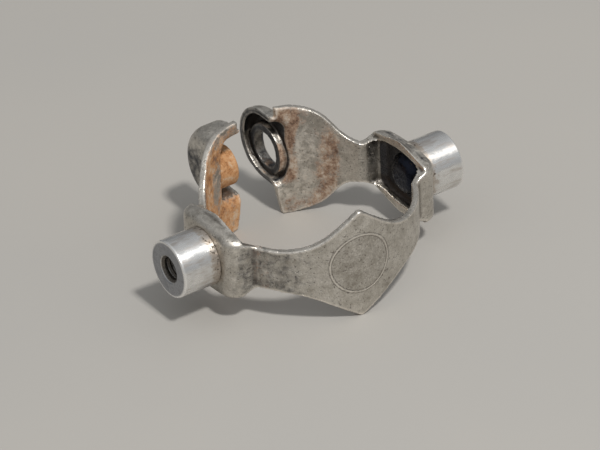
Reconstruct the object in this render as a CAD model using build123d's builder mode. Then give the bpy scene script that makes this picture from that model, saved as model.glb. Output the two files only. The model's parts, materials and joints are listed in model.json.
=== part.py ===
from build123d import *
import os
from math import cos, radians, sin

# Lever-boss band clamp for a 28.6 mm down tube.
#
# One pressed steel band wraps the tube.  A plain shield decorates its front, a boxed pad on each side
# carries a riveted lever boss, and two ears with pressed hoods take the clamp screw at the back.  The
# screw enters through the collar of the right hood and pulls on a round nut seated in the left hood.
#
# Frame: origin at the centre of the tube bore, +Z along the tube, the shield at -Y, the bosses along X
# and the gap between the ears at +Y.  Lengths are in millimetres, angles in degrees.

os.makedirs("parts", exist_ok=True)

# Band
tube_radius = 14.3
sheet = 0.9
ring_outer = tube_radius + sheet
narrow_half = 3.2
blank_half = 9.5

# Shield on the front of the band, turned a little towards the left boss
shield_turn = -7.0
shield_top = 8.8
shield_bottom = 8.2
shield_top_reach = 7.2
shield_bottom_reach = 8.0
shield_half_span = 12.5
shield_blend = 11.0
shield_tip = 0.5
medal_height = 0.4
medal_radius = 4.7
medal_rim = 0.45
medal_proud = 0.15

# Boxed pads that carry the bosses
pad_root = 9.0
pad_face = 17.5
pad_half_width = 6.6
pad_half_mid = 5.3
pad_half_end = 4.4
pad_depth = 2.3
pad_corner = 2.4
pad_edge = 1.2
pad_crease = 0.9
pad_flare_start = 12.0
pad_flare_end = 13.4
pad_flare_drop = 0.4

# Ears: each outline climbs from the narrow band to the full ear along a smooth shoulder.  The gap
# between them stands a little towards the right boss.
gap_shift = 0.9
ear_angle = 55.0
ear_top = 8.6
ear_bottom = 9.0
ear_neck = 7.6
ear_flare = 4.2
ear_flare_half = 4.5
ear_shoulder = 1.4
ear_shoulder_drop = 1.5
ear_crest = 2.2
ear_crest_drop = 0.15
ear_level = 4.0
ear_reach = 12.5
wing_gap_top = 3.1
wing_gap_bottom = 3.7

# Hoods pressed out of the ears, and the collar drawn into the right one
screw_height = 17.5
hood_root = 9.0
hood_centre = 16.8
hood_rise = 1.2
hood_radius = 5.7
hood_back = 6.4
hood_mouth = 2.6
hood_mouth_low = -3.0
hood_corner = 2.3
hood_crease = 0.6
collar_radius = 3.8
collar_bore = 2.7
collar_end = 4.4
collar_entry = 0.5

# Lever bosses
boss_radius = 4.2
boss_face = 23.4
boss_edge = 0.3
boss_thread = 1.65
boss_mouth = 2.15
boss_thread_depth = 5.2
boss_drill_point = 0.9
rivet_radius = 2.2
rivet_hole = 2.24
rivet_head = 3.2
rivet_head_height = 1.3
rivet_crown = 0.8

# Clamp nut, seated against the closed back of the left hood
nut_radius = 3.0
nut_front = 1.9
nut_front_edge = 0.3
nut_shoulder = 4.9
nut_seat_radius = 2.0
nut_thread = 2.1
nut_mouth = 2.45
nut_thread_end = 4.8

# Small overlaps that let one solid cut or join another cleanly
overlap = 1.0
sliver = 0.2

shield_plane = Plane(
    origin=(0, 0, 0),
    x_dir=(cos(radians(shield_turn)), sin(radians(shield_turn)), 0),
    z_dir=(sin(radians(shield_turn)), -cos(radians(shield_turn)), 0),
)
ear_plane = Plane(
    origin=(0, 0, 0),
    x_dir=(-sin(radians(ear_angle)), cos(radians(ear_angle)), 0),
    z_dir=(cos(radians(ear_angle)), sin(radians(ear_angle)), 0),
)


def cylinder_edges(form, radius, keep):
    """Edges of form that lie on the ring's skin, inside the blank, and that keep accepts by their centre."""
    found = []
    for edge in form.edges():
        points = [edge @ share for share in (0.1, 0.5, 0.9)]
        on_skin = [abs(point.X ** 2 + point.Y ** 2 - radius ** 2) < 0.02 for point in points]
        inside = abs(edge.center().Z) < blank_half - overlap
        if all(on_skin) and inside and keep(edge.center()):
            found.append(edge)
    return found


def pressed_form(inset):
    """Solid whose skin is the band's outer skin moved inwards by inset."""
    skin = ring_outer - inset
    width = pad_half_width - inset
    middle = pad_half_mid - inset
    end = pad_half_end - inset
    face = pad_face - inset
    back = hood_back - inset
    with BuildPart() as pads:
        for side in (-1, 1):
            with BuildSketch(Plane.YZ.offset(side * face)):
                with BuildLine():
                    top = ThreePointArc((-width, end), (0, middle), (width, end))
                    base = ThreePointArc((width, -end), (0, -middle), (-width, -end))
                    Line(top @ 1, base @ 0)
                    Line(base @ 1, top @ 0)
                make_face()
            extrude(amount=side * (pad_root - face))
        clear_of_root = [e for e in pads.edges() if abs(e.center().X) > pad_root + sliver]
        upright = [e for e in clear_of_root if abs(e.tangent_at(0.5).Z) > 0.99]
        fillet(upright, radius=pad_corner - inset)
        clear_of_root = [e for e in pads.edges() if abs(e.center().X) > pad_root + sliver]
        rims = [e for e in clear_of_root if abs(e.center().Z) > narrow_half - sliver]
        fillet(rims, radius=pad_edge - 0.4 * inset)
    with BuildPart() as hood:
        with BuildSketch(Plane.YZ.offset(-back)):
            with BuildLine():
                crown = CenterArc((hood_centre, hood_rise), hood_radius - inset, -90, 180)
                Polyline(crown @ 1, (hood_root, (crown @ 1).Y), (hood_root, (crown @ 0).Y), crown @ 0)
            make_face()
        extrude(amount=2 * back)
        ends = [e for e in hood.edges() if abs(abs(e.center().X) - back) < 0.01]
        ends = [e for e in ends if e.center().Y > hood_root + sliver]
        fillet(ends, radius=hood_corner - inset)
    with BuildPart() as form:
        with BuildSketch(Plane.XY.offset(-blank_half)):
            Circle(skin)
        extrude(amount=2 * blank_half)
        add(pads.part)
        add(hood.part)
        fillet(cylinder_edges(form, skin, lambda c: abs(c.X) > pad_root), radius=pad_crease + 0.6 * inset)
        fillet(cylinder_edges(form, skin, lambda c: c.Y > hood_root), radius=hood_crease + inset)
    return form.part


def blank_outline():
    """Solid that keeps the pressed sheet inside its cut outline."""
    with BuildPart() as outline:
        with BuildSketch(Plane.XY.offset(-narrow_half)):
            Circle(ring_outer + overlap)
        extrude(amount=2 * narrow_half)

        with BuildSketch(shield_plane.offset(tube_radius / 2)):
            with BuildLine():
                for up, height, reach in (
                    (1, shield_top, shield_top_reach),
                    (-1, shield_bottom, shield_bottom_reach),
                ):
                    FilletPolyline(
                        (-shield_half_span, up * narrow_half),
                        (-reach, up * narrow_half),
                        (0, up * height),
                        (reach, up * narrow_half),
                        (shield_half_span, up * narrow_half),
                        radius=(shield_blend, shield_tip, shield_blend),
                    )
                for end in (-shield_half_span, shield_half_span):
                    Line((end, narrow_half), (end, -narrow_half))
            make_face()
        extrude(amount=ring_outer - tube_radius / 2 + overlap)

        pad_back = pad_face - pad_depth
        for side in (-1, 1):
            with BuildSketch(Plane.XZ.offset(-pad_half_width - overlap)):
                with BuildLine():
                    Polyline(
                        (side * pad_flare_start, narrow_half),
                        (side * pad_flare_end, narrow_half),
                        (side * pad_back, pad_half_end - pad_flare_drop),
                        (side * pad_back, pad_half_mid + overlap),
                        (side * (pad_face + overlap), pad_half_mid + overlap),
                        (side * (pad_face + overlap), -pad_half_mid - overlap),
                        (side * pad_back, -pad_half_mid - overlap),
                        (side * pad_back, pad_flare_drop - pad_half_end),
                        (side * pad_flare_end, -narrow_half),
                        (side * pad_flare_start, -narrow_half),
                        close=True,
                    )
                make_face()
            extrude(amount=2 * (pad_half_width + overlap))

        with BuildSketch(ear_plane.offset(tube_radius / 2)):
            with BuildLine():
                for up, height in ((1, ear_top), (-1, ear_bottom)):
                    shoulder = Spline(
                        (-ear_neck, up * narrow_half),
                        (-ear_flare, up * ear_flare_half),
                        (-ear_shoulder, up * (height - ear_shoulder_drop)),
                        (ear_crest, up * (height - ear_crest_drop)),
                        (ear_level, up * height),
                        tangents=((1, 0), (1, 0)),
                    )
                    Line(shoulder @ 1, (ear_reach, up * height))
                Line((-ear_neck, narrow_half), (-ear_neck, -narrow_half))
                Line((ear_reach, ear_top), (ear_reach, -ear_bottom))
            make_face()
        ear = extrude(amount=tube_radius, mode=Mode.PRIVATE)
        add(ear)
        add(ear.mirror(Plane.YZ))
    return outline.part


def ear_gap():
    """Solid that opens the gap between the ears: level with the hood mouths, stepped back at the wings."""
    hood_top = hood_rise + hood_radius + sliver
    beyond = ear_bottom + overlap
    gap_depth = ring_outer + hood_radius + overlap
    with BuildPart() as gap:
        with BuildSketch(Plane(origin=(gap_shift, hood_root, 0), x_dir=(1, 0, 0), z_dir=(0, -1, 0))):
            with BuildLine():
                Polyline(
                    (-wing_gap_top, beyond),
                    (-wing_gap_top, hood_top),
                    (-hood_mouth, hood_top),
                    (-hood_mouth, hood_mouth_low),
                    (-wing_gap_bottom, -ear_bottom),
                    (-wing_gap_bottom, -beyond),
                    (wing_gap_bottom, -beyond),
                    (wing_gap_bottom, -ear_bottom),
                    (hood_mouth, hood_mouth_low),
                    (hood_mouth, hood_top),
                    (wing_gap_top, hood_top),
                    (wing_gap_top, beyond),
                    close=True,
                )
            make_face()
        extrude(amount=-gap_depth)
    return gap.part


outer_form = pressed_form(0)
inner_form = pressed_form(sheet)
outline_form = blank_outline()
gap_form = ear_gap()

with BuildPart() as clamp_band:
    add(outer_form)
    add(inner_form, mode=Mode.SUBTRACT)
    add(outline_form, mode=Mode.INTERSECT)
    add(gap_form, mode=Mode.SUBTRACT)
    # Collar drawn into the right hood, with its bore and its conical entry
    with BuildSketch(Plane.YZ.offset(collar_end)):
        with Locations((screw_height, 0)):
            Circle(collar_radius)
    extrude(amount=hood_back - sheet / 2 - collar_end)
    with BuildSketch(Plane.YZ.offset(hood_back + overlap)):
        with Locations((screw_height, 0)):
            Circle(collar_bore)
    extrude(amount=hood_mouth - hood_back - overlap, mode=Mode.SUBTRACT)
    with BuildSketch(Plane.XY):
        with BuildLine():
            Polyline(
                (hood_back - collar_entry, screw_height),
                (hood_back - collar_entry, screw_height + collar_bore),
                (hood_back + sliver, screw_height + collar_bore + collar_entry + sliver),
                (hood_back + sliver, screw_height),
                close=True,
            )
        make_face()
    revolve(axis=Axis((0, screw_height, 0), (1, 0, 0)), mode=Mode.SUBTRACT)
    # Rivet hole through each pad
    for side in (-1, 1):
        with BuildSketch(Plane.YZ.offset(side * (pad_face + overlap))):
            Circle(rivet_hole)
        extrude(amount=-side * (sheet + 2 * overlap), mode=Mode.SUBTRACT)
    # Raised rim of the plain medallion
    with BuildSketch(shield_plane.offset(tube_radius - overlap)):
        with Locations((0, medal_height)):
            Circle(medal_radius)
            Circle(medal_radius - medal_rim, mode=Mode.SUBTRACT)
    rim = extrude(amount=sheet + 2 * overlap, mode=Mode.PRIVATE)
    with BuildSketch(Plane.XY.offset(-blank_half)):
        Circle(ring_outer + medal_proud)
        Circle(ring_outer - sheet / 2, mode=Mode.SUBTRACT)
    proud_skin = extrude(amount=2 * blank_half, mode=Mode.PRIVATE)
    add(rim & proud_skin)

clamp_band.part.label = "clamp_band"
export_step(clamp_band.part, "parts/clamp_band.step")


def lever_boss(side, label):
    """Turned boss for a gear lever: tapped from its outer face, riveted through the pad."""
    pad_inside = pad_face - sheet
    rivet_end = pad_inside - rivet_head_height
    thread_end = boss_face - boss_thread_depth
    with BuildPart() as boss:
        with BuildSketch(Plane.XY):
            with BuildLine():
                FilletPolyline(
                    (side * rivet_end, 0),
                    (side * rivet_end, rivet_radius),
                    (side * pad_inside, rivet_head),
                    radius=rivet_crown,
                )
                Polyline(
                    (side * pad_inside, rivet_head),
                    (side * pad_inside, rivet_radius),
                    (side * pad_face, rivet_radius),
                    (side * pad_face, boss_radius),
                    (side * (boss_face - boss_edge), boss_radius),
                    (side * boss_face, boss_radius - boss_edge),
                    (side * boss_face, boss_mouth),
                    (side * (boss_face - boss_mouth + boss_thread), boss_thread),
                    (side * thread_end, boss_thread),
                    (side * (thread_end - boss_drill_point), 0),
                    (side * rivet_end, 0),
                )
            make_face()
        revolve(axis=Axis.X)
    boss.part.label = label
    return boss.part


left_lever_boss = lever_boss(-1, "left_lever_boss")
export_step(left_lever_boss, "parts/left_lever_boss.step")

right_lever_boss = lever_boss(1, "right_lever_boss")
export_step(right_lever_boss, "parts/right_lever_boss.step")

nut_seat = hood_back - sheet
with BuildPart() as clamp_nut:
    with BuildSketch(Plane.XY):
        with BuildLine():
            Polyline(
                (-nut_seat, screw_height),
                (-nut_seat, screw_height + nut_seat_radius),
                (-nut_shoulder, screw_height + nut_radius),
                (-nut_front - nut_front_edge, screw_height + nut_radius),
                (-nut_front, screw_height + nut_radius - nut_front_edge),
                (-nut_front, screw_height + nut_mouth),
                (-nut_front + nut_thread - nut_mouth, screw_height + nut_thread),
                (-nut_thread_end, screw_height + nut_thread),
                (-nut_thread_end, screw_height),
                close=True,
            )
        make_face()
    revolve(axis=Axis((0, screw_height, 0), (1, 0, 0)))

clamp_nut.part.label = "clamp_nut"
export_step(clamp_nut.part, "parts/clamp_nut.step")
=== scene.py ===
import json
import math

import bmesh
import bpy
import numpy as np
from mathutils import Matrix, Vector, noise


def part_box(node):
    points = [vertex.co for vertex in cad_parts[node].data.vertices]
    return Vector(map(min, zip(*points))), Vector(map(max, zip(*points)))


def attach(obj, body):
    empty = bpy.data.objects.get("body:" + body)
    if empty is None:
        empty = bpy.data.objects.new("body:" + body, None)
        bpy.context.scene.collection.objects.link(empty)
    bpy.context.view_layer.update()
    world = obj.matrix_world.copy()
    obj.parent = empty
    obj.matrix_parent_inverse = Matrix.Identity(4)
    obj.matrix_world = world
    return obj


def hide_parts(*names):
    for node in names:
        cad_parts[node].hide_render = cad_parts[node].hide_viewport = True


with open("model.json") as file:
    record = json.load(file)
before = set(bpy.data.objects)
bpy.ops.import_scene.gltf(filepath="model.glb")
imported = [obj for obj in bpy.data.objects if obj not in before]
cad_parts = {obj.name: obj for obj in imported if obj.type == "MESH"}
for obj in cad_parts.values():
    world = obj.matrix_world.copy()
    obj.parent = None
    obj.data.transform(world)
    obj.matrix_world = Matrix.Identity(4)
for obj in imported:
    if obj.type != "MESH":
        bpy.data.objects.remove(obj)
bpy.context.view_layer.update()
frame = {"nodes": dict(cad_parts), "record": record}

# Lengths below are in millimetres unless a comment says otherwise, in the CAD's frame: +Z along the tube,
# the shield at -Y, the bosses along X and the gap between the ears at +Y.
MM = 0.001

mounts = {m["name"]: m for m in frame["record"]["mounts"]}
tube_radius = mounts["tube_clamp"]["dims"]["r_mm"]
screw_height = mounts["clamp_nut_thread"]["pos_m"][1] / MM
boss_radius = mounts["left_boss"]["dims"]["r_mm"]
boss_thread = mounts["left_boss_thread"]["dims"]["r_mm"]
nut_thread = mounts["clamp_nut_thread"]["dims"]["r_mm"]
gap_shift = 0.9          # the gap between the ears stands this far towards +X


def box_mm(node):
    low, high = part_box(node)
    return np.array(low) / MM, np.array(high) / MM


band_low, band_high = box_mm("clamp_band")
boss_low, boss_high = box_mm("right_lever_boss")
nut_low, nut_high = box_mm("clamp_nut")
sheet = 0.9              # thickness of the pressed steel
ring_outer = tube_radius + sheet
pad_face = band_high[0]


# ---------------------------------------------------------------- mesh helpers

def smoothstep(low, high, value):
    share = np.clip((value - low) / (high - low), 0, 1)
    return share * share * (3 - 2 * share)


def noise_at(points, scale, octaves, offset):
    """Fractal noise from about -1 to 1 at each point, with features about 1 / scale across."""
    shifted = points * scale + offset
    return np.array([noise.fractal(Vector(p), 1.0, 2.0, octaves) for p in shifted])


def neighbour_mean(values, edges):
    count = len(values)
    total = np.zeros_like(values)
    for here, there in ((0, 1), (1, 0)):
        for column in range(values.shape[1]):
            total[:, column] += np.bincount(edges[:, here], values[edges[:, there], column], count)
    return total / np.maximum(np.bincount(edges.ravel(), minlength=count), 1)[:, None]


def relaxed(values, edges, rounds, pull, push=0.0):
    """values drawn to their neighbours' mean; push then draws them back, so that nothing shrinks."""
    for _ in range(rounds):
        values = values + pull * (neighbour_mean(values, edges) - values)
        if push:
            values = values - push * (neighbour_mean(values, edges) - values)
    return values


def mesh_arrays(mesh):
    points = np.empty(len(mesh.vertices) * 3, np.float32)
    mesh.vertices.foreach_get("co", points)
    edges = np.empty(len(mesh.edges) * 2, np.int32)
    mesh.edges.foreach_get("vertices", edges)
    return points.reshape(-1, 3).astype(float), edges.reshape(-1, 2)


def vertex_normals(mesh):
    normals = np.empty(len(mesh.vertices) * 3, np.float32)
    mesh.vertex_normals.foreach_get("vector", normals)
    return normals.reshape(-1, 3).astype(float)


def set_points(mesh, points):
    mesh.vertices.foreach_set("co", points.astype(np.float32).ravel())
    mesh.update()


def set_attribute(mesh, name, values):
    layer = mesh.attributes.new(name, "FLOAT", "POINT")
    layer.data.foreach_set("value", np.clip(values, 0, 1).astype(np.float32))


def finish_piece(obj, material, node):
    """Turns a mesh made in millimetres into a piece of the object that stands for one CAD node."""
    obj.data.transform(Matrix.Scale(MM, 4))
    for polygon in obj.data.polygons:
        polygon.use_smooth = True
    obj.data.materials.clear()
    obj.data.materials.append(material)
    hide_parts(node)
    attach(obj, "root")


# ---------------------------------------------------------------- material helpers

def set_stops(ramp, stops):
    """Gives a colour ramp node the stops (position, (red, green, blue))."""
    line = ramp.color_ramp.elements
    while len(line) < len(stops):
        line.new(0.5)
    for element, (position, colour) in zip(line, stops):
        element.position = position
        element.color = (*colour, 1)


class Graph:
    """Short names for the shader nodes that the materials share."""

    def __init__(self, name):
        self.material = bpy.data.materials.new(name)
        self.material.use_nodes = True
        self.tree = self.material.node_tree
        self.shader = self.tree.nodes["Principled BSDF"]
        place = self.node("ShaderNodeTexCoord").outputs["Object"]
        self.place = self.vector("SCALE", place, scale=1 / MM)

    def node(self, kind, **settings):
        made = self.tree.nodes.new(kind)
        for key, value in settings.items():
            setattr(made, key, value)
        return made

    def put(self, socket, value):
        if isinstance(value, bpy.types.NodeSocket):
            self.tree.links.new(value, socket)
        else:
            socket.default_value = value

    def vector(self, operation, first, second=None, scale=None):
        made = self.node("ShaderNodeVectorMath", operation=operation)
        self.put(made.inputs[0], first)
        if second is not None:
            self.put(made.inputs[1], second)
        if scale is not None:
            made.inputs["Scale"].default_value = scale
        return made.outputs["Value" if operation == "LENGTH" else "Vector"]

    def calc(self, operation, first, second):
        made = self.node("ShaderNodeMath", operation=operation)
        self.put(made.inputs[0], first)
        self.put(made.inputs[1], second)
        return made.outputs["Value"]

    def plus(self, first, second):
        return self.calc("ADD", first, second)

    def minus(self, first, second):
        return self.calc("SUBTRACT", first, second)

    def times(self, first, second):
        return self.calc("MULTIPLY", first, second)

    def larger(self, first, second):
        return self.calc("MAXIMUM", first, second)

    def attribute(self, name):
        return self.node("ShaderNodeAttribute", attribute_name=name).outputs["Fac"]

    def noise(self, scale, detail, roughness, place=None):
        made = self.node("ShaderNodeTexNoise")
        self.put(made.inputs["Vector"], self.place if place is None else place)
        for key, value in (("Scale", scale), ("Detail", detail), ("Roughness", roughness)):
            made.inputs[key].default_value = value
        return made.outputs["Fac"]

    def mottle(self, coarse, fine):
        """Broad patches whose borders are broken up by finer ones."""
        broad = self.times(self.noise(coarse, 4, 0.62), 0.6)
        return self.plus(broad, self.times(self.noise(fine, 5, 0.7), 0.4))

    def span(self, value, low, high, to_low=0.0, to_high=1.0):
        made = self.node("ShaderNodeMapRange", interpolation_type="SMOOTHSTEP")
        self.put(made.inputs["Value"], value)
        for key, number in (("From Min", low), ("From Max", high), ("To Min", to_low), ("To Max", to_high)):
            self.put(made.inputs[key], number)
        return made.outputs["Result"]

    def ramp(self, value, stops):
        made = self.node("ShaderNodeValToRGB")
        self.put(made.inputs["Fac"], value)
        set_stops(made, stops)
        return made.outputs["Color"]

    def mix(self, share, first, second):
        made = self.node("ShaderNodeMix", data_type="RGBA")
        self.put(made.inputs["Factor"], share)
        for socket, value in ((made.inputs[6], first), (made.inputs[7], second)):
            self.put(socket, (*value, 1) if isinstance(value, tuple) else value)
        return made.outputs[2]

    def blend(self, share, first, second):
        made = self.node("ShaderNodeMix", data_type="FLOAT")
        self.put(made.inputs["Factor"], share)
        self.put(made.inputs[2], first)
        self.put(made.inputs[3], second)
        return made.outputs[0]

    def bump(self, height, depth_mm):
        made = self.node("ShaderNodeBump")
        made.inputs["Distance"].default_value = depth_mm * MM
        self.put(made.inputs["Height"], height)
        return made.outputs["Normal"]

    def finish(self, **sockets):
        for key, value in sockets.items():
            self.put(self.shader.inputs[key.replace("_", " ").title()], value)
        return self.material


# ---------------------------------------------------------------- materials

plating = [
    (0.36, (0.41, 0.382, 0.336)), (0.47, (0.575, 0.543, 0.488)), (0.60, (0.72, 0.686, 0.628)),
]
tarnish_and_painted_shade = [(0.38, (0.030, 0.032, 0.038)), (0.66, (0.115, 0.115, 0.120))]
orange_rust = [
    (0.37, (0.22, 0.100, 0.045)), (0.45, (0.50, 0.240, 0.095)),
    (0.53, (0.61, 0.345, 0.170)), (0.61, (0.64, 0.480, 0.330)),
]
brown_rust = [
    (0.36, (0.13, 0.074, 0.048)), (0.45, (0.30, 0.190, 0.125)),
    (0.53, (0.46, 0.340, 0.250)), (0.60, (0.58, 0.500, 0.410)),
]
hole_wall_tones = [(0.3, (0.05, 0.045, 0.04)), (0.7, (0.22, 0.20, 0.175))]
fine_dirt = (0.22, 0.185, 0.145)
pinhole_black = (0.11, 0.09, 0.07)
disc_dirt = (0.20, 0.175, 0.145)
chalk_and_painted_light = (0.63, 0.575, 0.495)
worn_edge = (0.80, 0.75, 0.675)
crevice_grime_and_shade = (0.055, 0.043, 0.034)
streak_brown = (0.55, 0.49, 0.44)
turning_grey = (0.45, 0.44, 0.42)
end_blue = (0.22, 0.23, 0.255)
tail_painted_shade = (0.020, 0.023, 0.034)
pit_black = (0.09, 0.07, 0.05)
rim_painted_highlight = (0.96, 0.95, 0.93)
polished_tint = (0.86, 0.855, 0.84)
foot_stain = (0.42, 0.33, 0.24)
polished_roughness = 0.20
band_bump = 0.05
turned_bump = 0.02


def plated_steel(name):
    """Old plated sheet steel: mottled grey, dark pinholes, tarnish and painted shade, chalk and painted
    light, rust and thin worn edges.
    """
    g = Graph(name)
    cloud = g.noise(0.30, 3, 0.55)
    patch = g.noise(0.95, 5, 0.65)
    grain = g.noise(5.5, 6, 0.7)
    colour = g.ramp(g.plus(g.times(cloud, 0.45), g.times(patch, 0.55)), plating)
    colour = g.mix(g.span(grain, 0.40, 0.62, 0.30, 0.0), colour, fine_dirt)
    pinholes = g.span(g.noise(2.9, 3, 0.6), 0.585, 0.665)
    colour = g.mix(g.times(pinholes, 0.6), colour, pinhole_black)
    stipple = g.times(g.attribute("disc"), g.span(g.noise(3.6, 4, 0.7), 0.60, 0.44))
    colour = g.mix(g.times(stipple, 0.32), colour, disc_dirt)
    # Chalky patches, and painted light on the pads' corners that face the key light
    pale = g.span(g.plus(g.attribute("pale"), g.mottle(0.95, 3.4)), 0.86, 1.12)
    colour = g.mix(g.times(pale, 0.8), colour, chalk_and_painted_light)
    # Painted shade with some tarnish: where dark is high the colour goes near black
    dark = g.span(g.plus(g.attribute("dark"), g.times(g.noise(0.9, 5, 0.65), 0.8)), 0.62, 1.02)
    colour = g.mix(dark, colour, g.ramp(grain, tarnish_and_painted_shade))
    rust = g.span(g.plus(g.attribute("rust"), g.mottle(0.95, 3.6)), 0.85, 1.10)
    rust_specks = g.span(g.noise(5.5, 3, 0.6), 0.58, 0.70)
    rust_tone = g.plus(g.mottle(0.60, 2.6), g.times(rust_specks, -0.10))
    orange = g.ramp(rust_tone, orange_rust)
    brown = g.ramp(rust_tone, brown_rust)
    colour = g.mix(rust, colour, g.mix(g.attribute("brown"), orange, brown))
    worn = g.span(g.noise(0.8, 5, 0.65), 0.34, 0.54, 0.25, 1.0)
    wear = g.times(g.attribute("edge"), worn)
    wear = g.times(wear, g.minus(1.0, g.times(rust, 0.5)))
    colour = g.mix(wear, colour, worn_edge)
    # Painted shade, with some grime, darkens the creases of the band and the nut's bore
    colour = g.mix(g.times(g.attribute("cavity"), 0.75), colour, crevice_grime_and_shade)

    rough = g.plus(g.span(patch, 0.3, 0.7, 0.32, 0.48), g.times(pinholes, 0.2))
    rough = g.blend(g.larger(rust, g.times(pale, 0.6)), rough, 0.85)
    rough = g.blend(wear, rough, 0.26)
    # Rust, chalky patches and the pads' painted light aren't metallic
    metal = g.minus(1.0, g.times(g.larger(rust, g.times(pale, 0.7)), 0.9))

    relief = g.minus(g.times(grain, 0.5), g.times(pinholes, 0.7))
    relief = g.plus(relief, g.times(g.times(rust, g.noise(4.0, 6, 0.72)), 1.8))
    relief = g.times(relief, g.minus(1.0, g.times(wear, 0.7)))
    normal = g.bump(relief, band_bump)
    return g.finish(base_color=colour, metallic=metal, roughness=rough, normal=normal)


def turned_steel(name, tint, stain, smooth):
    """Turned and polished steel: fine rings round the X axis, stains and pits near its foot."""
    g = Graph(name)
    split = g.node("ShaderNodeSeparateXYZ")
    g.put(split.inputs[0], g.place)
    radial = g.vector("LENGTH", g.vector("MULTIPLY", g.place, (0, 1, 1)))
    along = g.plus(split.outputs["X"], radial)
    wander = g.times(g.noise(0.35, 2, 0.5), 0.15)
    line = g.node("ShaderNodeCombineXYZ")
    g.put(line.inputs["X"], g.plus(along, wander))
    rings = g.noise(9.0, 4, 0.7, place=line.outputs["Vector"])
    cloud = g.noise(0.6, 4, 0.6)
    speck = g.noise(4.2, 5, 0.7)
    streaks = g.noise(1.3, 4, 0.62, place=g.vector("MULTIPLY", g.place, (0.22, 1, 1)))
    foot = g.attribute("foot")
    hole = g.attribute("hole")
    stained = g.span(g.plus(g.times(foot, 0.62), g.noise(1.4, 5, 0.65)), 0.72, 0.98)
    pits = g.span(g.plus(g.times(foot, 0.17), g.noise(2.2, 4, 0.6)), 0.72, 0.79)
    colour = g.mix(g.span(cloud, 0.35, 0.65, 0.0, 0.6), tint, tuple(0.86 * c for c in tint))
    colour = g.mix(g.span(streaks, 0.47, 0.66, 0.0, 0.68), colour, streak_brown)
    colour = g.mix(g.span(rings, 0.35, 0.65, 0.0, 0.16), colour, turning_grey)
    colour = g.mix(g.times(stained, 0.6), colour, stain)
    colour = g.mix(g.attribute("end"), colour, g.mix(0.85, colour, end_blue))
    # Painted shade: the rivet tail inside the pad's hollow is made near black
    colour = g.mix(g.attribute("tail"), colour, tail_painted_shade)
    colour = g.mix(g.times(pits, 0.8), colour, pit_black)
    # The tapped hole's wall is painted darker
    colour = g.mix(hole, colour, g.ramp(speck, hole_wall_tones))
    # Painted highlight: the rounded outer rim of the boss is made near white
    colour = g.mix(g.times(g.attribute("edge"), 0.8), colour, rim_painted_highlight)

    rough = g.plus(g.span(cloud, 0.3, 0.7, smooth, smooth + 0.07), g.times(speck, 0.05))
    rough = g.plus(rough, g.span(streaks, 0.42, 0.64, 0.0, 0.14))
    rough = g.plus(rough, g.times(g.larger(stained, pits), 0.20))
    rough = g.blend(hole, rough, 0.45)

    relief = g.minus(g.times(rings, 0.30), g.times(pits, 1.6))
    relief = g.plus(relief, g.plus(g.times(speck, 0.25), g.times(cloud, 1.6)))
    g.shader.inputs["Anisotropic"].default_value = 0.6
    g.shader.inputs["Anisotropic Rotation"].default_value = 0.25
    tangent = g.node("ShaderNodeTangent", direction_type="RADIAL", axis="X").outputs["Tangent"]
    normal = g.bump(relief, turned_bump)
    return g.finish(base_color=colour, metallic=1.0, roughness=rough, normal=normal, tangent=tangent)


# ---------------------------------------------------------------- the pressed band

shield_turn = math.radians(-7.0)
medal_height = 0.4
medal_radius = 4.7
medal_rim = 0.45
medal_proud = 0.06
medal_softness = 0.10    # half width of the rim's rounded crest
medal_margin = 1.0       # how far round the medallion its skin is evened out
fine_margin = 0.7        # how far round it the mesh is made finer
skin_slack = 0.3         # what lies less than this below the band's outer face is its skin

weld_distance = 1e-4
voxel = 0.17
smoothing = (4, 0.5, 0.52)       # rounds, pull and push that take the voxels' steps away
bend_smoothing = (5, 0.6)
dent_depth, dent_noise = 0.07, 0.16
pit_depth, pit_noise = 0.008, 1.6
scale_depth, scale_noise = 0.05, 2.4
skin_inset = 0.010       # the skin lies this far inside the CAD's, so that its bumps stay within the box
box_margin = 0.004


def spot(across, up, centre, size, outer, inner):
    """1 in an oval patch of about this size, fading to 0 round it."""
    return smoothstep(outer, inner, np.hypot((across - centre[0]) / size[0], (up - centre[1]) / size[1]))


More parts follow.
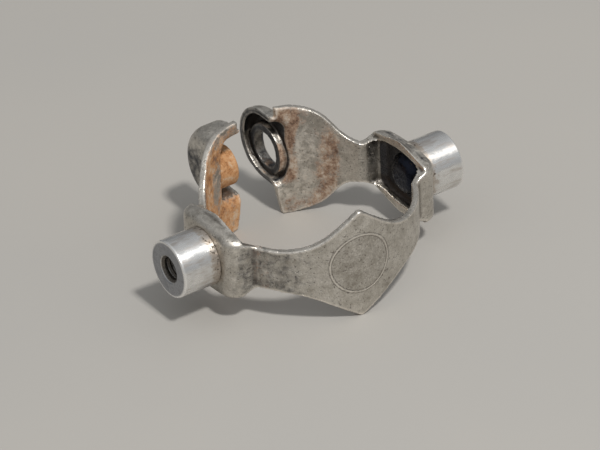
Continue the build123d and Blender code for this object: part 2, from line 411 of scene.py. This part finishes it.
def band_regions(points, normals):
    """How rusty, dark, pale, unworn and brown the band is at each point, mostly from 0 to 1. Dark is mostly
    painted shade with some tarnish, and pale is chalk and, on the pads' corners, painted light.

    The borders of the regions are places on the band, and those for normals are parts of a unit vector.
    """
    x, y, z = points.T
    reach = np.hypot(x, y)
    outward = (normals[:, 0] * x + normals[:, 1] * y) / np.maximum(reach, 1e-6)
    inner_face = smoothstep(0.15, -0.35, outward)
    left = smoothstep(gap_shift + 0.5, gap_shift - 0.5, x)
    right = 1 - left

    # Ears, their hoods, and the collar with its flat front ring
    ear = smoothstep(7.0, 9.5, y)
    beyond = smoothstep(ring_outer + 0.25, ring_outer + 1.0, reach)
    hood = ear * beyond * smoothstep(10.5, 8.5, np.abs(x))
    behind = smoothstep(tube_radius + 0.4, tube_radius + 1.2, reach)
    hollow_hood = smoothstep(9.0, 10.5, y) * inner_face * behind
    # hood_side finds the hood's faces turned sideways, which are painted darker as shade
    hood_side = smoothstep(0.25, 0.95, np.abs(normals[:, 0])) * smoothstep(5.5, 1.0, z)
    screw_distance = np.hypot(y - screw_height, z)
    collar = right * ear * smoothstep(4.5, 4.0, screw_distance) * smoothstep(6.2, 5.6, x)
    faces_gap = smoothstep(-0.3, -0.8, normals[:, 0])
    ring = collar * faces_gap
    rim_face = ear * faces_gap * beyond * (1 - collar)
    on_ear = ear * inner_face * (1 - hollow_hood)
    shoulder = inner_face * (1 - hollow_hood) * smoothstep(5.0, 10.5, y)

    # Pads, their hollows, the front corner of each, and the strip where the left one meets the band
    pad = smoothstep(tube_radius + 1.2, tube_radius + 2.0, np.abs(x)) * smoothstep(7.2, 6.0, np.abs(y))
    hollow_pad = pad * smoothstep(0.2, -0.4, normals[:, 0] * np.sign(x))
    corner_way = np.where(x < 0, -normals[:, 1], normals[:, 2])
    # Painted light: the pad faces turned towards the key light are picked out to be made pale
    corner = pad * smoothstep(0.30, 0.75, corner_way) * (1 - hollow_pad)
    strip = left * smoothstep(1.3, 0.5, np.abs(x + 13.3)) * smoothstep(-4.0, -5.0, y)
    beside_pad = left * smoothstep(-4.5, -12.0, x) * smoothstep(-3.0, -5.0, y) * (1 - pad)

    # Patches on the ears, by the way along the ear from the middle of the gap, in millimetres round the tube
    along = np.arctan2(np.abs(x), y) * tube_radius
    bare_left = left * spot(along, z, (7.4, 0.8), (1.1, 3.4), 1.6, 0.5)
    bare_right = right * spot(along, z, (8.0, 1.7), (1.5, 3.0), 1.5, 0.7)
    low_patch = spot(along, z, (7.6, -4.2), (2.2, 2.2), 1.6, 0.6)
    low_edge_patch = spot(along, z, (4.8, -5.4), (1.3, 1.2), 1.6, 0.6)
    whitish = right * np.maximum(low_patch, low_edge_patch)
    streak = right * smoothstep(2.6, 0.8, np.abs(along - 11.6 - 0.20 * z))
    window_side = right * smoothstep(7.6, 6.6, along) * smoothstep(-4.5, -3.0, z)
    crown = right * smoothstep(3.5, 5.0, z) * smoothstep(8.0, 9.5, along)
    tip = smoothstep(6.0, 8.2, z)

    on_right = 0.45 + 0.12 * streak + 0.22 * window_side - 0.30 * bare_right - 0.12 * crown - 0.14 * whitish
    rust = 0.60 * left * shoulder * (1 - 0.34 * bare_left - 0.28 * tip) + 0.40 * left * hollow_hood
    rust += on_ear * right * on_right
    rust += 0.12 * ear * (1 - inner_face) * smoothstep(-2.0, 3.0, z)
    rust += 0.36 * (collar - ring) - 0.5 * ring
    rust += 0.40 * strip + 0.10 * pad * (1 - corner)

    # Painted shade in the hollows of the hoods and pads, on the hoods' sides, on the ring and in the collar's
    # bore; darker patches beside the left pad and on the pads' corners
    dark = hood * (1 - inner_face) * (0.24 + 0.26 * hood_side)
    dark += 0.85 * hollow_hood * (1 - 0.75 * left) * (1 - collar) + 0.62 * ring + 1.1 * hollow_pad
    dark += 0.45 * right * rim_face + 0.40 * collar * smoothstep(3.1, 2.85, screw_distance)
    dark += 0.37 * beside_pad + 0.26 * corner

    # Painted light makes the pads' corners pale; the right ear's pale patches are chalk
    pale = on_ear * right * (0.27 + 0.22 * bare_right) + 0.20 * whitish * on_ear + 0.40 * corner
    brown = right + left * np.maximum(0.3 * hood, strip + pad)
    unworn = np.maximum(collar, np.maximum(0.7 * right * rim_face, 0.5 * left * ear))
    return {"rust": rust, "dark": dark, "pale": pale, "unworn": unworn, "brown": brown}


def medal_places(points):
    """Distances from the medallion's axis and from the tube's, and which points are on the shield's skin."""
    right_way = np.array((math.cos(shield_turn), math.sin(shield_turn), 0))
    out_way = np.array((math.sin(shield_turn), -math.cos(shield_turn), 0))
    distance = np.hypot(points @ right_way, points[:, 2] - medal_height)
    reach = np.hypot(points[:, 0], points[:, 1])
    return distance, reach, (points @ out_way > 0) & (reach > ring_outer - skin_slack)


def shape_medal(points):
    """Raises the medallion's thin rim, and says how far each point is on that rim and inside it."""
    distance, reach, on_shield = medal_places(points)
    border = medal_radius + medal_margin
    skin = on_shield & (distance < border)
    middle = medal_radius - medal_rim / 2
    rim = np.exp(-((distance - middle) / medal_softness) ** 2) * medal_proud
    target = ring_outer - 0.02 + rim
    share = np.where(skin, smoothstep(border, border - 0.5, distance), 0.0)
    new_reach = reach + share * (target - reach)
    points[:, :2] *= (new_reach / np.maximum(reach, 1e-6))[:, None]
    disc = smoothstep(middle, middle - 0.25, distance)
    return np.where(skin, rim / medal_proud, 0.0), np.where(skin, disc, 0.0)


def fine_band():
    """The CAD band as a new object of small even faces, finer still round the thin rim of the medallion."""
    source = frame["nodes"]["clamp_band"].data.copy()
    source.transform(Matrix.Scale(1 / MM, 4))
    work = bmesh.new()
    work.from_mesh(source)
    bmesh.ops.remove_doubles(work, verts=work.verts, dist=weld_distance)
    work.to_mesh(source)
    work.free()
    obj = bpy.data.objects.new("band_skin", source)
    bpy.context.scene.collection.objects.link(obj)
    remesh = obj.modifiers.new("voxels", "REMESH")
    remesh.mode = "VOXEL"
    remesh.voxel_size = voxel
    fine = bpy.data.meshes.new_from_object(obj.evaluated_get(bpy.context.evaluated_depsgraph_get()))
    obj.modifiers.clear()
    obj.data = fine
    points, edges = mesh_arrays(fine)
    set_points(fine, relaxed(points, edges, *smoothing))

    work = bmesh.new()
    work.from_mesh(fine)
    distance, _, on_shield = medal_places(np.array([f.calc_center_median() for f in work.faces]))
    near = on_shield & (distance < medal_radius + fine_margin)
    rim_edges = list({e for f, is_near in zip(work.faces, near) if is_near for e in f.edges})
    bmesh.ops.subdivide_edges(work, edges=rim_edges, cuts=1, use_grid_fill=True)
    work.to_mesh(fine)
    work.free()
    return obj


def surface_bend(points, edges, normals):
    """Curvature at each point, in 1 / mm: positive on ridges and negative in hollows."""
    count = len(points)
    lengths = np.linalg.norm(points[edges[:, 0]] - points[edges[:, 1]], axis=1)
    total = np.bincount(edges[:, 0], lengths, count) + np.bincount(edges[:, 1], lengths, count)
    spacing = total / np.maximum(np.bincount(edges.ravel(), minlength=count), 1)
    away = neighbour_mean(points, edges) - points
    bend = -4 * np.einsum("ij,ij->i", away, normals) / np.maximum(spacing, 1e-3) ** 2
    return relaxed(bend[:, None], edges, *bend_smoothing)[:, 0]


def band_skin():
    """The band with rounded sheet edges, small dents, pits, rust scale and a crisp medallion."""
    obj = fine_band()
    fine = obj.data
    points, edges = mesh_arrays(fine)
    rim, disc = shape_medal(points)
    set_points(fine, points)
    normals = vertex_normals(fine)
    bend = surface_bend(points, edges, normals)
    regions = band_regions(points, normals)

    # Long shallow dents everywhere but under the bosses
    dents = np.stack([noise_at(points, dent_noise, 2, shift) for shift in (3.1, 17.7, 41.3)], axis=1)
    under_boss = smoothstep(7.0, 5.0, np.hypot(points[:, 1], points[:, 2]))
    keep = 1 - under_boss * (np.abs(points[:, 0]) > tube_radius)
    points = points + dent_depth * dents * keep[:, None]

    # Pits and rust scale, fading out at the edges
    pits = noise_at(points, pit_noise, 3, 7.3)
    scale = noise_at(points, scale_noise, 3, 23.9)
    lift = pit_depth * pits + scale_depth * regions["rust"] * scale - skin_inset
    lift = lift * (1 - 0.85 * smoothstep(0.3, 1.2, np.abs(bend)))
    points = points + normals * lift[:, None]
    set_points(fine, np.clip(points, band_low + box_margin, band_high - box_margin))

    set_attribute(fine, "disc", disc)
    edge = smoothstep(0.95, 2.1, bend)
    set_attribute(fine, "edge", edge * (1 - 0.8 * regions.pop("unworn")) + 0.30 * rim)
    # cavity: painted shade with some grime in the creases
    set_attribute(fine, "cavity", 0.8 * smoothstep(0.25, 0.9, -bend))
    for name, values in regions.items():
        set_attribute(fine, name, values)
    return obj


# ---------------------------------------------------------------- turned pieces

segments = 256
rounding_steps = 5
profile_step = 0.09
boss_mouth = 2.15
boss_thread_depth = 5.2
boss_drill_point = 0.9
rivet_radius = 2.2
rivet_head = 3.2
boss_rounding = 0.28
end_inset = 0.02
boss_inset = 0.004       # keeps the bumps of the turned skin within the CAD's box
boss_waves = 0.003
foot_pits = 0.025
tail_knocks = 0.06
nut_mouth = 2.45
nut_seat_radius = 2.0
nut_taper = 0.6
nut_floor = 0.7
boss_pitch, boss_groove = 0.7, 0.35      # M4
nut_pitch, nut_groove = 0.8, 0.4         # M5


def rounded(corners):
    """Profile points along corners of (x, radius, rounding)."""
    line = []
    for index, (x, radius, blend) in enumerate(corners):
        here = np.array((x, radius))
        if not blend:
            line.append(here)
            continue
        before = np.array(corners[index - 1][:2]) - here
        after = np.array(corners[(index + 1) % len(corners)][:2]) - here
        start = here + before / np.linalg.norm(before) * blend
        end = here + after / np.linalg.norm(after) * blend
        for t in np.linspace(0, 1, rounding_steps + 1):
            line.append((1 - t) ** 2 * start + 2 * t * (1 - t) * here + t * t * end)
    return line


def divided(line):
    """line with extra points, so that none lie further apart than profile_step."""
    result = []
    for start, end in zip(line, line[1:]):
        pieces = max(1, math.ceil(np.linalg.norm(end - start) / profile_step))
        result += [start + (end - start) * k / pieces for k in range(pieces)]
    return result + [line[-1]]


def lathe(name, line, axis_height, thread):
    """Turned mesh about the line y = axis_height, z = 0.

    thread is (minor radius, depth, pitch, from x, to x).
    """
    turns = np.arange(segments) * 2 * math.pi / segments
    minor, depth, pitch, thread_from, thread_to = thread
    points, faces = [], []
    rings = line[1:-1]
    for x, radius in rings:
        spread = np.full(segments, radius)
        if abs(radius - minor) < 1e-3 and thread_from <= x <= thread_to:
            phase = (x / pitch + turns / (2 * math.pi)) % 1.0
            fade_in = smoothstep(thread_from, thread_from + pitch, x)
            fade_out = smoothstep(thread_to, thread_to - pitch, x)
            # A V with a narrow flat floor
            groove = np.clip(1.15 - 2.6 * np.abs(phase - 0.5), 0, 1)
            spread = spread + depth * fade_in * fade_out * groove
        up, out = spread * np.sin(turns), axis_height + spread * np.cos(turns)
        points.append(np.stack([np.full(segments, x), out, up], 1))
    count = len(rings)
    for row in range(count - 1):
        a, b = row * segments, (row + 1) * segments
        for k in range(segments):
            n = (k + 1) % segments
            faces.append((a + k, a + n, b + n, b + k))
    # Both ends of the profile lie on the axis, and a fan of triangles closes each
    points.append([(line[0][0], axis_height, 0), (line[-1][0], axis_height, 0)])
    points = np.concatenate(points)
    first, last = count * segments, count * segments + 1
    base = (count - 1) * segments
    for k in range(segments):
        n = (k + 1) % segments
        faces.append((first, n, k))
        faces.append((last, base + k, base + n))
    mesh = bpy.data.meshes.new(name)
    mesh.from_pydata(points.tolist(), [], faces)
    work = bmesh.new()
    work.from_mesh(mesh)
    bmesh.ops.recalc_face_normals(work, faces=work.faces)
    work.to_mesh(mesh)
    work.free()
    obj = bpy.data.objects.new(name, mesh)
    bpy.context.scene.collection.objects.link(obj)
    return obj


def turned_attributes(mesh, hole_radius, foot_x, foot_span, edge_centre, tail_x):
    """Marks the hole's wall, the stained foot, the outer edge that gets a painted highlight, the end face and
    the tail that gets painted shade.
    """
    points, _ = mesh_arrays(mesh)
    radial = np.hypot(points[:, 1], points[:, 2])
    edge_x, edge_radius = edge_centre
    in_hole = smoothstep(hole_radius + 0.45, hole_radius + 0.25, radial)
    set_attribute(mesh, "hole", in_hole * (np.abs(points[:, 0]) > tail_x))
    set_attribute(mesh, "foot", smoothstep(foot_span, 0, np.abs(points[:, 0] - foot_x)))
    from_edge = np.hypot(points[:, 0] - edge_x, radial - edge_radius)
    set_attribute(mesh, "edge", smoothstep(0.35, 0.1, from_edge))
    past_edge = np.abs(points[:, 0]) > abs(edge_x) + 0.05
    set_attribute(mesh, "end", past_edge * smoothstep(edge_radius, edge_radius - 0.15, radial))
    set_attribute(mesh, "tail", smoothstep(0.05, -0.05, np.abs(points[:, 0]) - tail_x))


def lever_boss(side, name):
    """Boss with a tapped hole, a rounded rim, a pitted foot and a hammered rivet tail inside the pad."""
    face, rivet_end = boss_high[0], boss_low[0]
    inside = pad_face - sheet
    bottom = face - boss_thread_depth
    end = face - end_inset
    corners = [
        (rivet_end, 0, 0),
        (rivet_end, rivet_radius, 0.8),
        (inside, rivet_head, 0.12),
        (inside, rivet_radius, 0),
        (pad_face, rivet_radius, 0),
        (pad_face, boss_radius, 0.1),
        (end, boss_radius, boss_rounding),
        (end, boss_mouth, 0.08),
        (face - boss_mouth + boss_thread, boss_thread, 0),
        (bottom, boss_thread, 0),
        (bottom - boss_drill_point, 0, 0),
    ]
    thread = (boss_thread, boss_groove, boss_pitch, bottom, face - 0.45)
    obj = lathe(name, divided(rounded(corners)), 0, thread)
    points, _ = mesh_arrays(obj.data)
    normals = vertex_normals(obj.data)
    # The left boss is the right one turned half round the tube
    if side < 0:
        turn = np.array((-1, -1, 1))
        points, normals = points * turn, normals * turn
    radial = np.hypot(points[:, 1], points[:, 2])
    outside = smoothstep(boss_radius - 0.6, boss_radius - 0.2, radial)
    foot = smoothstep(2.4, 0.2, np.abs(np.abs(points[:, 0]) - pad_face))
    pits = smoothstep(0.42, 0.62, noise_at(points, 1.15, 3, 11.0 * side) + 0.32 * foot)
    waves = noise_at(points, 0.5, 2, 5.0)
    tail = smoothstep(inside + 0.02, inside - 0.1, np.abs(points[:, 0]))
    hammered = np.abs(tail * noise_at(points, 0.9, 2, 31.0))
    lift = -foot_pits * pits * outside * foot - boss_inset + boss_waves * waves - tail_knocks * hammered
    points = points + normals * lift[:, None]
    set_points(obj.data, points)
    edge_centre = (side * (face - boss_rounding / 2), boss_radius - boss_rounding / 2)
    turned_attributes(obj.data, boss_thread, side * pad_face, 2.6, edge_centre, inside)
    return obj


def clamp_nut():
    """Round nut with a tapered back, seated in the left hood and tapped from its front."""
    seat, front = nut_low[0], nut_high[0]
    radius = nut_high[2]
    bottom = seat + nut_floor
    corners = [
        (seat, 0, 0),
        (seat, nut_seat_radius, 0.1),
        (seat + nut_taper, radius, 0.15),
        (front, radius, 0.3),
        (front, nut_mouth, 0.06),
        (front - nut_mouth + nut_thread, nut_thread, 0),
        (bottom, nut_thread, 0),
        (bottom, 0, 0),
    ]
    thread = (nut_thread, nut_groove, nut_pitch, bottom, front - 0.3)
    obj = lathe("clamp_nut_turned", divided(rounded(corners)), screw_height, thread)
    points, _ = mesh_arrays(obj.data)
    radial = np.hypot(points[:, 1] - screw_height, points[:, 2])
    set_attribute(obj.data, "rust", np.where(radial > nut_thread + 0.5, 0.68, 0.3))
    # cavity here is painted shade in the nut's bore
    set_attribute(obj.data, "cavity", smoothstep(nut_thread + 0.5, nut_thread + 0.2, radial))
    return obj


# ---------------------------------------------------------------- build

band = band_skin()
finish_piece(band, plated_steel("aged_plated_steel"), "clamp_band")
boss_material = turned_steel("polished_boss_steel", polished_tint, foot_stain, polished_roughness)
for side, name in ((-1, "left"), (1, "right")):
    boss = lever_boss(side, f"{name}_boss_turned")
    finish_piece(boss, boss_material, f"{name}_lever_boss")
finish_piece(clamp_nut(), plated_steel("rusty_nut_steel"), "clamp_nut")


# ---------------------------------------------------------------- floor, light and camera

def resting_plane(points):
    """(level, slope) of the plane z = level - slope * y that touches the lowest points of shield and ears."""
    front, back = points[points[:, 1] < -5], points[points[:, 1] > 5]
    low, high = -0.2, 0.2
    for _ in range(40):
        slope = (low + high) / 2
        gap = (front[:, 2] + slope * front[:, 1]).min() - (back[:, 2] + slope * back[:, 1]).min()
        low, high = (slope, high) if gap > 0 else (low, slope)
    return (points[:, 2] + slope * points[:, 1]).min(), slope


half_floor = 900
floor_tones = ((0.425, 0.405, 0.374), (0.407, 0.392, 0.367))
floor_roughness = 0.55


def floor_material():
    g = Graph("pale_floor")
    tone = g.mix(g.span(g.noise(0.012, 3, 0.5), 0.3, 0.7), *floor_tones)
    return g.finish(base_color=tone, roughness=floor_roughness)


def place_floor(level, slope):
    """Square floor on the plane z = level - slope * y."""
    plan = [(half_floor * x, half_floor * y) for x, y in ((-1, -1), (1, -1), (1, 1), (-1, 1))]
    corners = [(x * MM, y * MM, (level - slope * y) * MM) for x, y in plan]
    mesh = bpy.data.meshes.new("floor")
    mesh.from_pydata(corners, [], [(0, 1, 2, 3)])
    floor = bpy.data.objects.new("floor", mesh)
    floor.data.materials.append(floor_material())
    bpy.context.scene.collection.objects.link(floor)


place_floor(*resting_plane(mesh_arrays(band.data)[0] / MM))


key_direction = (-0.03, -0.57, 1.0)
key_distance = 0.9       # metres
key_size = 0.10          # metres
key_power = 5.9          # watts
key_colour = (1.0, 0.985, 0.96)


def key_light():
    """A disk over the front of the clamp, aimed at its centre."""
    way = Vector(key_direction).normalized()
    data = bpy.data.lights.new("key", "AREA")
    data.shape = "DISK"
    data.size = key_size
    data.energy = key_power
    data.color = key_colour
    light = bpy.data.objects.new("key", data)
    light.location = way * key_distance
    light.rotation_mode = "QUATERNION"
    light.rotation_quaternion = (-way).to_track_quat("-Z", "Y")
    bpy.context.scene.collection.objects.link(light)


key_light()


brightest_direction = (-0.1, -0.35, 0.93)
# Brightness by the cosine of the angle from the brightest direction
surround = (
    (-1, 0.10), (-0.4, 0.17), (0, 0.28), (0.25, 0.36),
    (0.5, 0.44), (0.72, 0.50), (0.85, 0.58), (1, 0.66),
)
surround_tint = (0.97, 0.985, 1)


def studio_world():
    """Soft surround, brightest overhead towards the front and dim at the horizon behind."""
    world = bpy.data.worlds.new("studio")
    world.use_nodes = True
    tree = world.node_tree
    way = tree.nodes.new("ShaderNodeTexCoord").outputs["Generated"]
    facing = tree.nodes.new("ShaderNodeVectorMath")
    facing.operation = "DOT_PRODUCT"
    facing.inputs[1].default_value = Vector(brightest_direction).normalized()
    spread = tree.nodes.new("ShaderNodeMapRange")
    spread.inputs["From Min"].default_value = -1
    ramp = tree.nodes.new("ShaderNodeValToRGB")
    stops = [((cosine + 1) / 2, [part * light for part in surround_tint]) for cosine, light in surround]
    set_stops(ramp, stops)
    tree.links.new(way, facing.inputs[0])
    tree.links.new(facing.outputs["Value"], spread.inputs["Value"])
    tree.links.new(spread.outputs["Result"], ramp.inputs["Fac"])
    tree.links.new(ramp.outputs["Color"], tree.nodes["Background"].inputs["Color"])
    bpy.context.scene.world = world


studio_world()
bpy.context.scene.view_settings.view_transform = "Standard"


camera_turn = math.radians(-33.4)
camera_rise = math.radians(33.14)
camera_roll = math.radians(-2.06)
# How far the camera stands back, to the right and up, in boss radii
camera_place = (163.75, -0.3135, -0.3943)
camera_lens = 298.4
sensor_width = 36
clip_range = (0.05, 20)          # metres


def place_camera():
    """Camera at the viewing angle: turned round the clamp, raised above it, and rolled slightly."""
    turn, rise, roll = camera_turn, camera_rise, camera_roll
    unit = boss_radius * MM
    right = Vector((math.cos(turn), math.sin(turn), 0))
    back = Vector((math.sin(turn) * math.cos(rise), -math.cos(turn) * math.cos(rise), math.sin(rise)))
    up = back.cross(right)
    rolled_right = math.cos(roll) * right + math.sin(roll) * up
    rolled_up = -math.sin(roll) * right + math.cos(roll) * up
    data = bpy.data.cameras.new("camera")
    data.lens = camera_lens
    data.sensor_width = sensor_width
    data.clip_start, data.clip_end = clip_range
    camera = bpy.data.objects.new("camera", data)
    far, across, over = camera_place
    where = (far * back + across * rolled_right + over * rolled_up) * unit
    facing = Matrix((rolled_right, rolled_up, back)).transposed().to_4x4()
    camera.matrix_world = Matrix.Translation(where) @ facing
    bpy.context.scene.collection.objects.link(camera)
    bpy.context.scene.camera = camera


place_camera()
